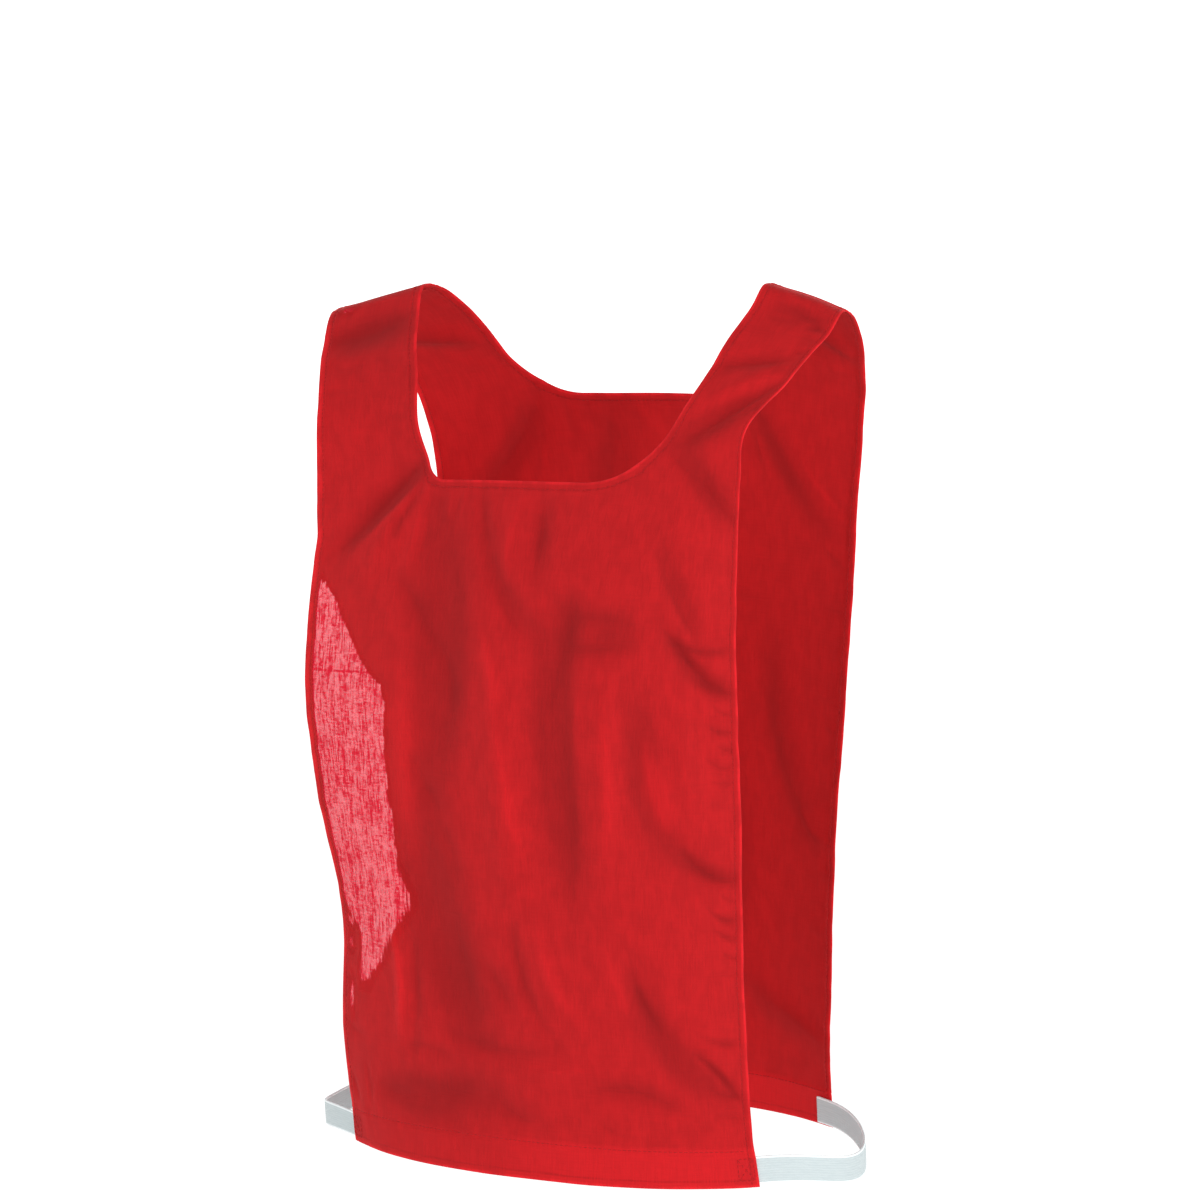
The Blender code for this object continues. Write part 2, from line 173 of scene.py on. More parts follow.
# Small creases, only here
FRONT_CREASES = rows(
    Fold,
    # the strap on the wearer's right
    (-140, 21, -118, 18, -94, 22, 8, 0.8), (-151, 41, -122, 38, -92, 33, 18, -2.6),
    (-148, 62, -134, 67, -120, 64, 7, -0.6), (-116, 58, -104, 62, -90, 60, 8, -0.5),
    (-150, 86, -141, 83, -132, 86, 6, -0.5), (-106, 98, -96, 101, -84, 99, 7, -0.5),
    (-132, 118, -118, 112, -102, 116, 9, 0.5),
    # from the neckline's sharp corner
    (-78, 131, -97, 149, -116, 168, 6, -2), (-104, 157, -122, 178, -138, 193, 7, -1.5),
    (-80, 145, -98, 168, -121, 190, 7, 1.3), (-79, 149, -88, 168, -98, 190, 6, -1.7),
    (-76, 158, -78, 180, -82, 204, 7, 0.9), (-71, 152, -70, 172, -73, 196, 5, -0.9),
    # below the neckline
    (-66, 150, -64, 164, -62, 180, 5, -0.8), (-58, 150, -57, 160, -56, 172, 4, 0.6),
    (-51, 150, -51, 160, -50, 170, 4, -0.7), (-43, 150, -43, 156, -43, 163, 4, -0.6),
    (-36, 151, -32, 165, -25, 182, 6, -1), (-24, 151, -20, 163, -17, 176, 5, -0.6),
    (-4, 152, -9, 180, -8, 210, 9, 1), (9, 158, 9, 182, 8, 203, 6, -1.6),
    (20, 151, 21, 158, 22, 166, 4, -0.6), (30, 151, 30, 156, 31, 164, 4, -0.6),
    (41, 151, 42, 157, 43, 163, 4, -0.5), (52, 151, 54, 160, 57, 170, 5, -0.5),
    # chest
    (-20, 205, -8, 225, 8, 241, 8, -1.2), (31, 212, 33, 234, 29, 258, 13, -2),
    (27, 258, 25, 268, 23, 284, 7, -1), (-87, 206, -70, 226, -58, 250, 16, -1.6),
    (-62, 240, -44, 268, -46, 304, 12, -1.5), (-70, 316, -62, 336, -50, 350, 12, -1.5),
    (-60, 352, -44, 372, -40, 400, 14, -1.1), (-26, 236, -14, 264, -12, 296, 13, 1.2),
    (-8, 296, -2, 340, 8, 378, 13, 1.2), (20, 262, 18, 300, 22, 338, 8, -0.9),
    (44, 262, 42, 300, 44, 350, 10, 1.1), (42, 300, 41, 344, 38, 402, 9, -0.7),
    (58, 274, 64, 326, 60, 380, 13, 1.1), (76, 250, 70, 276, 74, 300, 10, -0.8),
    (34, 228, 54, 227, 80, 230, 14, -1.5), (34, 245, 52, 246, 78, 243, 14, -1.5),
    (88, 296, 95, 332, 108, 358, 13, 1.3), (96, 306, 104, 336, 112, 352, 13, 1),
    (-77, 256, -76, 326, -76, 392, 30, 1.2), (-96, 424, -90, 460, -92, 500, 11, 1.9),
    (-80, 428, -76, 464, -80, 500, 10, -1.3), (0, 408, 4, 450, 28, 492, 11, -1.6),
    (16, 410, 22, 444, 44, 480, 14, 1.1), (-44, 420, -38, 448, -30, 470, 13, -0.9),
    (76, 428, 82, 456, 96, 484, 11, -1.3), (60, 420, 68, 450, 80, 472, 13, 0.9),
    (-118, 528, -84, 534, -40, 524, 14, -1.2), (-98, 504, -70, 500, -44, 506, 11, -0.9),
    (34, 268, 36, 344, 38, 436, 22, -0.9), (-64, 424, -46, 462, -22, 498, 42, -1.2),
    (-116, 526, -78, 534, -24, 544, 36, -1.5),
    # pressed in when it was folded away
    (-147, 263, -120, 264, -92, 266, 3, -0.5),
    # the strap on the wearer's left
    (92, 14, 112, 16, 140, 12, 7, 0.7), (98, 28, 120, 24, 148, 30, 16, -1.5),
    (98, 30, 112, 33, 126, 30, 6, -0.7), (118, 22, 132, 26, 146, 22, 6, -0.6),
    (90, 44, 104, 41, 118, 45, 6, -0.6), (128, 42, 138, 40, 148, 43, 6, -0.7),
    (86, 67, 110, 62, 145, 58, 5, -1), (92, 112, 112, 98, 144, 76, 7, -1.6),
    (120, 100, 134, 91, 148, 84, 6, 0.8), (78, 120, 92, 131, 108, 140, 6, -0.8),
    (104, 138, 124, 150, 150, 168, 7, -1.2), (126, 140, 138, 146, 150, 152, 6, -0.6),
    (132, 34, 141, 31, 150, 33, 5, -1.3), (136, 50, 143, 52, 150, 49, 4, -1.2),
    (126, 70, 138, 66, 149, 68, 4, -1.1), (134, 96, 143, 92, 150, 94, 4, -0.9),
    # the wearer's left side
    (76, 176, 88, 190, 98, 206, 6, -0.6), (94, 200, 108, 220, 124, 240, 6, -1.3),
    (105, 240, 130, 246, 149, 243, 6, -1.8), (99, 233, 116, 250, 134, 265, 5, -2),
    (125, 262, 140, 268, 151, 270, 6, -1.9), (136, 277, 144, 282, 151, 281, 4, -1.2),
    (132, 289, 143, 294, 151, 293, 5, -1.6), (139, 302, 146, 304, 151, 305, 3.5, -1.2),
    (131, 309, 142, 315, 151, 313, 4, -1.2), (131, 323, 143, 325, 151, 324, 4, -1),
    (134, 338, 145, 339, 151, 337, 4, -0.8), (113, 368, 132, 381, 151, 384, 6, -2.1),
    (138, 391, 146, 396, 151, 396, 4, -1.2), (131, 401, 142, 408, 151, 407, 5, -1.9),
    (134, 413, 144, 419, 151, 419, 5, -1.7), (139, 426, 146, 431, 151, 430, 3.5, -1.3),
    (135, 441, 146, 442, 151, 440, 4, -1), (80, 452, 88, 466, 100, 482, 8, -0.9),
    (96, 488, 104, 497, 112, 506, 7, -0.8), (118, 490, 135, 503, 147, 519, 5, -2.7),
    (123, 480, 140, 484, 151, 482, 6, -1.6), (125, 512, 141, 517, 151, 516, 5, -1.3),
    (128, 528, 142, 530, 151, 529, 4, -1.1),
    # above the bottom hem
    (44, 520, 76, 515, 112, 530, 6, -1), (4, 511, 28, 506, 52, 506, 6, 0.7),
    (52, 534, 60, 540, 72, 545, 6, -0.8), (-14, 528, -2, 536, 12, 540, 9, -1),
    (-24, 440, -12, 456, -4, 474, 14, -1.4), (-55, 488, -16, 496, 24, 496, 12, -1.2),
    (-90, 520, -60, 528, -34, 524, 20, -1.2), (-128, 515, -126, 530, -125, 545, 5, -0.7),
    (-149, 526, -144, 536, -140, 546, 6, -1),
    # the wearer's right side
    (-151, 428, -142, 431, -132, 427, 6, -0.8), (-151, 444, -143, 447, -134, 443, 5, -0.9),
    (-151, 462, -144, 465, -137, 463, 5, -0.7), (-151, 490, -140, 497, -128, 499, 6, -0.8),
)
BACK_CREASES = rows(
    Fold,
    (-146, 22, -122, 25, -98, 20, 8, 0.7), (-148, 38, -132, 41, -116, 37, 6, -0.7),
    (-146, 52, -118, 58, -92, 66, 5, -1.1), (-120, 78, -102, 84, -86, 82, 7, -0.6),
    (94, 18, 118, 22, 142, 17, 8, 0.7), (92, 46, 118, 53, 146, 66, 5, -1.2),
    (112, 76, 130, 82, 148, 80, 6, -0.7), (88, 92, 104, 98, 118, 96, 7, -0.5),
    (-70, 114, -90, 140, -116, 170, 6, -1.5), (-68, 122, -76, 146, -82, 172, 6, -0.9),
    (-104, 160, -120, 176, -136, 186, 7, 0.9), (70, 114, 90, 142, 114, 172, 6, -1.3),
    (66, 124, 72, 146, 80, 166, 5, -0.8), (104, 148, 124, 168, 146, 180, 7, 0.9),
    (-52, 116, -51, 128, -49, 142, 5, -0.7), (-38, 116, -37, 124, -37, 133, 4, -0.6),
    (-24, 116, -25, 138, -28, 162, 7, -1.1), (-8, 116, -7, 127, -5, 139, 5, -0.6),
    (6, 117, 7, 124, 7, 130, 4, 0.5), (19, 116, 21, 130, 24, 146, 5, -0.7),
    (36, 117, 34, 146, 31, 178, 7, -1.2), (50, 116, 51, 125, 53, 134, 4, -0.6),
    (-6, 214, 2, 232, 12, 246, 7, -1), (48, 236, 62, 240, 78, 238, 7, -0.8),
    (-50, 262, -60, 280, -66, 300, 8, -0.9), (18, 330, 24, 352, 34, 370, 8, -1.1),
    (-150, 208, -140, 212, -128, 216, 6, -0.9), (-150, 232, -142, 235, -133, 233, 5, -0.7),
    (-150, 262, -136, 258, -120, 250, 7, -1.3), (-150, 281, -143, 283, -136, 280, 5, -0.7),
    (-150, 338, -140, 342, -130, 339, 6, -0.9), (-150, 384, -134, 378, -114, 380, 7, -1.2),
    (-150, 402, -143, 405, -135, 402, 5, -0.8), (-150, 470, -132, 478, -112, 474, 7, -1),
    (-146, 512, -122, 500, -98, 490, 6, -1.3), (-150, 530, -140, 533, -128, 531, 5, -0.6),
    (150, 214, 138, 210, 124, 200, 6, -1), (150, 240, 142, 243, 134, 241, 5, -0.7),
    (150, 296, 140, 301, 129, 299, 6, -0.9), (150, 318, 143, 320, 136, 317, 5, -0.7),
    (151, 392, 132, 388, 116, 370, 6, -1.4), (151, 408, 142, 412, 133, 410, 5, -0.8),
    (151, 446, 140, 450, 128, 446, 6, -0.8), (148, 522, 122, 512, 94, 502, 6, -1.2),
    (-62, 512, -34, 520, -6, 514, 9, -1), (6, 532, 30, 526, 56, 532, 8, -0.9),
    (-100, 528, -82, 534, -64, 530, 7, -0.8),
)

# The single layer is thin enough to see through on the wearer's right side. border is that part's inner
# edge and outer its edge towards the hem, in mm of x
Thin = namedtuple("Thin", "down outer border")
FRONT_THIN = rows(
    Thin,
    (205, -152, -152), (212, -150, -142), (222, -150, -133), (234, -150, -126),
    (244, -150, -120), (254, -150, -114), (263, -150, -107), (268, -150, -100),
    (274, -150, -92), (284, -150, -90), (330, -150, -90), (386, -150, -88),
    (396, -150, -86), (405, -150, -81), (413, -150, -82), (424, -140, -90),
    (434, -130, -98), (449, -131, -110), (461, -132, -122), (470, -130, -129),
)
# Small thin spots beside it, and where the strap's hem opens at the shoulder seam, in mm
Spot = namedtuple("Spot", "x down half_x half_down share")
FRONT_SPOTS = rows(
    Spot,
    (-143, 427, 6, 6, 0.6), (-144, 441, 5, 7, 0.6), (-142, 476, 3.5, 16, 0.7), (-141, 17, 8, 5, 0.5),
)
THIN_WAVER = 1.6  # in mm
THIN_WAVER_LENGTH = 9
THIN_SEED = 5
BORDER_SOFT = 1.5
FRAYED_SOFT = 5.5  # added where it is frayed
FRAYED_RISE = 40
OUTER_SOFT = 2.5
THIN_TOP = 12  # over which it begins
THIN_BOTTOM = 10  # over which it ends
SPOT_CORE = 0.2
FRAYED_FROM = 370  # down from the shoulder, in mm
PRESSED_LINE = 267  # down from the shoulder, where the cloth was folded away

Panel = namedtuple(
    "Panel", "name node face neck_depth corner_left corner_right sections folds creases pitch seed area"
)
FRONT_SHAPE = FRONT_SECTIONS, FRONT_FOLDS, FRONT_CREASES
BACK_SHAPE = BACK_SECTIONS, BACK_FOLDS, BACK_CREASES
FRONT = Panel("front_cloth", "front_panel", -1, 145 * MM, 45 * MM, 9 * MM, *FRONT_SHAPE, 2.2 * MM, 11, 0.155)
BACK = Panel("back_cloth", "back_panel", 1, 110 * MM, 35 * MM, 35 * MM, *BACK_SHAPE, 2.4 * MM, 47, 0.160)


# ---------- the worn form


def smooth_table(sections, column, t):
    """One column of a table of sections at t, on a smooth curve through its rows."""
    downs = np.array([s.down for s in sections]) * MM
    values = np.array([getattr(s, column) for s in sections]) * MM
    steps, rises = np.diff(downs), np.diff(values)
    slopes = rises / steps
    inner = (slopes[:-1] * steps[1:] + slopes[1:] * steps[:-1]) / (steps[:-1] + steps[1:])
    ends = np.concatenate([slopes[:1], inner, slopes[-1:]])
    row = np.clip(np.searchsorted(downs, t, side="right") - 1, 0, len(steps) - 1)
    step, a = steps[row], (t - downs[row]) / steps[row]
    rise = a * a * (3 - 2 * a)
    bend = a * (1 - a) * step * (ends[row] * (1 - a) - ends[row + 1] * a)
    return values[row] + rises[row] * rise + bend


def fold_height(folds, x, t, power=FOLD_POWER):
    """How far all folds move the cloth out at (x, t)."""
    height = np.zeros_like(x)
    a = np.linspace(0, 1, FOLD_STEPS)
    start, through, end = (1 - a) * (1 - 2 * a), 4 * a * (1 - a), a * (2 * a - 1)
    for f in folds:
        path_x = MM * (start * f.start_x + through * f.middle_x + end * f.end_x)
        path_t = MM * (start * f.start_down + through * f.middle_down + end * f.end_down)
        reach = FOLD_REACH * f.width * MM
        near = (x > path_x.min() - reach) & (x < path_x.max() + reach)
        near &= (t > path_t.min() - reach) & (t < path_t.max() + reach)
        away = (x[near][:, None] - path_x) ** 2 + (t[near][:, None] - path_t) ** 2
        along = a[away.argmin(-1)]
        fade = np.sin(np.pi * (FOLD_END + (1 - 2 * FOLD_END) * along))
        share = away.min(-1) / (f.width * MM) ** 2
        height[near] += f.height * MM * fade * np.exp(-FOLD_EDGE * share ** (power / 2))
    return height


def drape(panel, x, t):
    """The worn place of (x, t) before its folds."""

    def column(name):
        return smooth_table(panel.sections, name, t)

    def beside(name):
        return np.where(x >= 0, column(name + "_left"), column(name + "_right"))

    half, edge, back, drop = [beside(name) for name in ("half", "edge", "back", "drop")]
    across = np.abs(x) / HALF_WIDTH
    world_x = np.sign(x) * (across * (4 * half - edge) + across**2 * (2 * edge - 4 * half))
    curved = np.clip(t / SHOULDER_DEPTH, 0, 1)
    world_y = column("out") - back * across**SIDE_POWER
    world_z = column("height") - drop * across ** (1 + curved)
    return np.stack([world_x, panel.face * world_y, world_z], -1)


def normals(panel, place, x, t):
    """The outward normals of place, a function of the cut."""
    along_x = place(panel, x + SLOPE_STEP, t) - place(panel, x - SLOPE_STEP, t)
    along_t = place(panel, x, t + SLOPE_STEP) - place(panel, x, np.maximum(t - SLOPE_STEP, 0))
    n = np.cross(along_t, along_x) if panel.face < 0 else np.cross(along_x, along_t)
    return n / np.linalg.norm(n, axis=-1, keepdims=True)


LATTICE = 256  # values each way before the noise repeats


def lattice(u, v, seed):
    """Smooth noise from -1 to 1 with one value at each whole (u, v)."""
    values = np.random.RandomState(seed).uniform(-1, 1, (LATTICE, LATTICE))
    cell_u, cell_v = np.floor(u).astype(int), np.floor(v).astype(int)
    part_u, part_v = u - cell_u, v - cell_v
    part_u, part_v = part_u**2 * (3 - 2 * part_u), part_v**2 * (3 - 2 * part_v)

    def row(v):
        first, second = values[cell_u % LATTICE, v % LATTICE], values[(cell_u + 1) % LATTICE, v % LATTICE]
        return first * (1 - part_u) + second * part_u

    return row(cell_v) * (1 - part_v) + row(cell_v + 1) * part_v


# The size of a cell of the noise across and down, and its height, in mm
CRUMPLES = (31, 52, 0.40), (15, 24, 0.15), (7, 10, 0.05), (3.5, 4.5, 0.02)
CRUMPLE_TURN = 0.35
CRUMPLE_START = 90  # in the noise


def crumple_height(panel, x, t):
    """The small unevenness of cloth that has been folded and worn."""
    turned, other = (x + CRUMPLE_TURN * t) / MM, (t - CRUMPLE_TURN * x) / MM
    height = np.zeros_like(x)
    for i, (across, down, rise) in enumerate(CRUMPLES):
        u, v = turned / across + CRUMPLE_START, other / down + CRUMPLE_START
        height += rise * MM * lattice(u, v, panel.seed + i)
    return height


def folded(panel, x, t):
    """The cloth's outer face at (x, t), with its folds and creases."""
    height = fold_height(panel.folds, x, t) + fold_height(panel.creases, x, t, CREASE_POWER)
    height += crumple_height(panel, x, t)
    return drape(panel, x, t) + height[..., None] * normals(panel, drape, x, t)


# ---------- the cut


def strap_inner(panel, t):
    """Distance of the strap's inner edge from the middle line, before the corner is rounded."""
    slant = HALF_WIDTH - STRAP_WIDTH - NECK_HALF
    return NECK_HALF + slant * np.clip(1 - t / panel.neck_depth, 0, 1)


def round_corners(panel, x, t):
    """Moves the cut round the neckline's two corners onto their arcs, fading out into the cloth."""
    radius = np.where(x >= 0, panel.corner_left, panel.corner_right)
    inward = strap_inner(panel, t) - np.abs(x)
    upward = panel.neck_depth - t
    beside = inward <= upward
    along = np.clip(np.where(beside, upward, inward), 0, radius)
    turn = np.pi / 4 * (1 - along / radius)
    off_edge = radius * (1 - np.cos(turn))
    on_edge = radius * (1 - np.sin(turn)) - along
    away = np.hypot(np.minimum(inward, 0), np.minimum(upward, 0))
    fade = np.clip(1 - away / np.minimum(2 * radius, STRAP_WIDTH), 0, 1) ** 2
    sideways = np.where(beside, off_edge, on_edge) * fade
    up = np.where(beside, on_edge, off_edge) * fade
    return x - np.sign(x) * sideways, t - up


def even(start, end, pitch):
    """Evenly spaced values from start to end, about pitch apart."""
    return np.linspace(start, end, max(int(round((end - start) / pitch)), 1) + 1)


def panel_grid(panel):
    """The panel's flat cut as a grid before its corners are rounded: x, t and which points are cloth."""
    margin = EDGE_LINES[-1]
    downs = [
        SEAM_LINES[:-1],
        even(SEAM_LINES[-1], panel.neck_depth, panel.pitch)[:-1],
        panel.neck_depth + EDGE_LINES[:-1],
        even(panel.neck_depth + margin, LENGTH - BOTTOM_LINES[-1], panel.pitch)[:-1],
        LENGTH - BOTTOM_LINES[::-1],
    ]
    downs = np.concatenate(downs)
    inner = strap_inner(panel, downs)[:, None]
    between = even(0, 1, panel.pitch / (HALF_WIDTH - NECK_HALF - 2 * margin))[1:-1]
    strap = [
        np.broadcast_to(HALF_WIDTH - EDGE_LINES, (len(downs), len(EDGE_LINES))),
        (HALF_WIDTH - margin) * (1 - between) + (inner + margin) * between,
        inner + EDGE_LINES[::-1],
    ]
    strap = np.hstack(strap)
    middle = even(-NECK_HALF, NECK_HALF, panel.pitch)[1:-1]
    x = np.hstack([-strap, np.broadcast_to(middle, (len(downs), len(middle))), strap[:, ::-1]])
    t = np.broadcast_to(downs[:, None], x.shape).copy()
    cloth = (np.abs(x) > inner - TINY) | (t > panel.neck_depth - TINY)
    return x, t, cloth


def step(value, start, end):
    """0 up to start, 1 from end on, smooth between them."""
    a = np.clip((value - start) / (end - start), 0, 1)
    return a * a * (3 - 2 * a)


def bump(value, middle, half):
    return np.exp(-(((value - middle) / half) ** 2))


Pucker = namedtuple("Pucker", "pitch slant reach_in reach_out height")
HEM_PUCKER = Pucker(6.5 * MM, 0.35, 9 * MM, 4 * MM, 0.62 * MM)
BOTTOM_PUCKER = Pucker(9 * MM, 0.3, 12 * MM, 14 * MM, 0.38 * MM)
PUCKER_LONG = 4  # as many pitches into the cloth as along it
PUCKER_CHANGE = 7  # pitches over which the strength changes
PUCKER_VARY = 0.35
PUCKER_START = 60  # in the noise
PUCKER_SEED = 20  # added to the panel's
BOTTOM_SEED = 30
WAVER_START = 40
WAVER_SEED = 40
THIN_START = 30


def pucker_height(p, along, away, seed):
    """Uneven small waves across a line of stitches. away is the distance from it, above 0 in the cloth."""
    reach = np.where(away > 0, p.reach_in, p.reach_out)
    u, v = (along + p.slant * away) / p.pitch, away / (PUCKER_LONG * p.pitch)
    wave = lattice(u + PUCKER_START, v + PUCKER_START, seed)
    change = lattice(along / (PUCKER_CHANGE * p.pitch) + PUCKER_START, np.zeros_like(along), seed + 1)
    strength = 1 - PUCKER_VARY + PUCKER_VARY * change
    return p.height * strength * wave * np.exp(-((away / reach) ** 2))


def thin_share(x, t):
    """How thin the front is at (x, t) in mm, from 0 to 1, with soft borders."""
    downs = [row.down for row in FRONT_THIN]
    border = np.interp(t, downs, [row.border for row in FRONT_THIN])
    noise_t = t / THIN_WAVER_LENGTH + THIN_START
    border = border + THIN_WAVER * lattice(noise_t, np.full_like(t, THIN_START + 0.5), THIN_SEED)
    outer = np.interp(t, downs, [row.outer for row in FRONT_THIN])
    soft = BORDER_SOFT + FRAYED_SOFT * step(t, FRAYED_FROM, FRAYED_FROM + FRAYED_RISE)
    share = step(border - x, -soft, soft) * step(x - outer, -OUTER_SOFT, OUTER_SOFT)
    share *= step(t, downs[0], downs[0] + THIN_TOP) * (1 - step(t, downs[-1] - THIN_BOTTOM, downs[-1]))
    for spot in FRONT_SPOTS:
        away = np.hypot((x - spot.x) / spot.half_x, (t - spot.down) / spot.half_down)
        share = np.maximum(share, spot.share * (1 - step(away, SPOT_CORE, 1.0)))
    return share


def surface(panel, x, t):
    """The cloth at (x, t) of the cut before its corners are rounded: outer and inner points, normals, the
    rounded cut, the distance from the nearest edge, and how far it is bottom hem and thin (0 to 1)."""
    from_side = HALF_WIDTH - np.abs(x)
    beside, below = np.abs(x) - strap_inner(panel, t), t - panel.neck_depth
    from_neck = np.hypot(np.maximum(beside, 0), np.maximum(below, 0))
    from_bottom = LENGTH - t
    from_hem = np.minimum(from_side, from_neck)
    from_edge = np.minimum(from_hem, from_bottom)

    in_hem = 1 - step(from_hem, SIDE_HEM, SIDE_HEM + HEM_FADE)
    in_bottom = 1 - step(from_bottom, BOTTOM_HEM - BOTTOM_FADE_IN, BOTTOM_HEM + BOTTOM_FADE_OUT)
    relief = HEM_RISE * (in_hem + in_bottom)
    relief -= GROOVE * bump(from_hem, HEM_STITCH, GROOVE_HALF)
    relief -= GROOVE * bump(from_bottom, BOTTOM_STITCH, GROOVE_HALF)
    near_edge = (1 - np.clip(from_edge / EDGE_ROUND, 0, 1)) ** 2
    relief -= EDGE_DROP * near_edge
    relief -= SEAM_SINK * bump(t, 0, SEAM_SINK_HALF)
    if panel.face > 0:
        in_seam = 1 - step(t, SEAM_ALLOWANCE, SEAM_ALLOWANCE + SEAM_FADE)
        relief += SEAM_RISE * in_seam * step(t, 0, SEAM_CLEAR)
        relief -= GROOVE * bump(t, SEAM_STITCH, GROOVE_HALF)

    along = np.where((from_side < from_neck) | (below <= 0), t, x)
    relief += pucker_height(HEM_PUCKER, along, from_hem - HEM_STITCH, panel.seed + PUCKER_SEED)
    relief += pucker_height(BOTTOM_PUCKER, x, from_bottom - BOTTOM_STITCH, panel.seed + BOTTOM_SEED)

    cut_x, cut_t = round_corners(panel, x, t)
    waver = WAVER * lattice(t / WAVER_LENGTH + WAVER_START, np.sign(x) + WAVER_START, panel.seed + WAVER_SEED)
    cut_x = cut_x + waver * bump(from_side, 0, WAVER_REACH)
    outward = normals(panel, folded, cut_x, cut_t)
    outer = folded(panel, cut_x, cut_t) + relief[..., None] * outward
    thick = CLOTH + (HEM_LAYERS - CLOTH) * in_hem
    thick = np.maximum(thick, CLOTH + (BOTTOM_LAYERS - CLOTH) * in_bottom)
    if panel.face > 0:
        thick = np.maximum(thick, CLOTH + (BOTTOM_LAYERS - CLOTH) * in_seam)
    thick = EDGE_THICK + (thick - EDGE_THICK) * np.sqrt(1 - near_edge)
    inner = outer - thick[..., None] * outward

    thin = thin_share(cut_x / MM, cut_t / MM) * (1 - in_hem) if panel.face < 0 else np.zeros_like(x)
    return outer, inner, outward, cut_x, cut_t, from_edge, in_bottom, thin


# ---------- meshes


def shell_faces(cloth):
    """Faces of a closed shell from a grid's quads: an outer layer, an inner layer and the rim round them."""
    number = np.full(cloth.shape, -1)
    number[cloth] = np.arange(cloth.sum())
    count = int(cloth.sum())
    corners = number[:-1, :-1], number[1:, :-1], number[1:, 1:], number[:-1, 1:]
    quads = np.stack(corners, -1).reshape(-1, 4)
    quads = quads[quads.min(1) >= 0]
    starts, ends = quads.ravel(), np.roll(quads, -1, axis=1).ravel()
    forward, reverse = starts * count + ends, ends * count + starts
    rim = ~np.isin(forward, reverse)
    a, b = starts[rim], ends[rim]
    rims = np.stack([b, a, a + count, b + count], -1)
    return np.vstack([quads, quads[:, ::-1] + count, rims])


def wall_faces(rings, sides):
    """The quads between rings of points, in rows, and the number of each point."""
    number = np.arange(rings * sides).reshape(rings, sides)
    following = np.roll(number, -1, axis=1)
    corners = number[:-1], number[1:], following[1:], following[:-1]
    return np.stack(corners, -1).reshape(-1, 4), number


def add_object(name, data):
    made = bpy.data.objects.new(name, data)
    bpy.context.scene.collection.objects.link(made)
    return made


def make_mesh(name, points, faces, materials, attributes=(), slots=None):
    mesh = bpy.data.meshes.new(name)
    mesh.from_pydata(points, [], faces)
    for material in materials:
        mesh.materials.append(material)
    if slots is not None:
        mesh.polygons.foreach_set("material_index", slots)
    mesh.shade_smooth()
    for title, values in attributes:
        kind, key = ("FLOAT_VECTOR", "vector") if values.ndim == 2 else ("FLOAT", "value")
        mesh.attributes.new(title, kind, "POINT").data.foreach_set(key, values.ravel())
    return add_object(name, mesh)


def make_panel(panel, materials):
    x, t, cloth = panel_grid(panel)
    outer, inner, _, cut_x, cut_t, from_edge, in_bottom, thin = surface(panel, x, t)
    for points in (outer, inner):
        points[..., 1] = np.where(t < TINY, -panel.face * SEAM_OVERLAP, points[..., 1])
    faces = shell_faces(cloth)
    if panel.face > 0:
        faces = faces[:, ::-1]

    def both(values):
        """What the two layers share, at the points that are cloth."""
        return np.concatenate([values[cloth]] * 2)

    thin = both(thin)
    attributes = (
        ("cut", both(np.stack([cut_x, cut_t, np.zeros_like(cut_x)], -1)) / MM),
        ("edge", both(from_edge) / MM),
        ("bottom", both(in_bottom)),
        ("layer", np.repeat([0.0, 1.0], cloth.sum())),
        ("thin", thin),
        ("height", both(fold_height(panel.folds, cut_x, cut_t)) / MM),
        ("crease", both(fold_height(panel.creases, cut_x, cut_t, CREASE_POWER)) / MM),
    )
    points = np.vstack([outer[cloth], inner[cloth]]).tolist()
    slots = (thin[faces].max(1) > TINY).astype(int)
    piece = make_mesh(panel.name, points, faces.tolist(), materials[: slots.max() + 1], attributes, slots)
    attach(piece, "root")
    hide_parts(panel.node)
    return piece


# Stitches: short rounded lengths of thread that dip into the cloth at both ends
STITCH_PITCH = 3.1 * MM
STITCH_LENGTH = 2.5 * MM
STITCH_HALF = 0.24 * MM
STITCH_SIDES = 6
STITCH_RADII = (0.55, 0.95, 1, 0.95, 0.55)  # shares of the half width, from end to end
STITCH_RISE = 0.32 * MM
STITCH_SINK = 0.14 * MM  # of its ends, below the cloth's face
STITCH_TIP = 0.52  # of its length, from its middle
STITCH_START = 0.1  # of a pitch


def stitch_template():
    """One stitch along X, of length 1, as points and faces. Y and Z are in metres."""
    rings = len(STITCH_RADII)
    along = np.linspace(0, 1, rings)
    radius = STITCH_HALF * np.array(STITCH_RADII)
    lift = STITCH_RISE * (1 - (2 * along - 1) ** 2) - STITCH_SINK
    angle = np.arange(STITCH_SIDES) * 2 * np.pi / STITCH_SIDES
    points = []
    for a, r, up in zip(along, radius, lift):
        points += [[a - 0.5, r * np.cos(w), up + r * np.sin(w)] for w in angle]
    walls, number = wall_faces(rings, STITCH_SIDES)
    faces = walls.tolist()
    tip, first, last = len(points), number[0], number[-1]
    points += [[-STITCH_TIP, 0, lift[0]], [STITCH_TIP, 0, lift[-1]]]
    for k in range(STITCH_SIDES):
        following = (k + 1) % STITCH_SIDES
        faces += [[tip, first[k], first[following]], [tip + 1, last[following], last[k]]]
    return np.array(points), faces


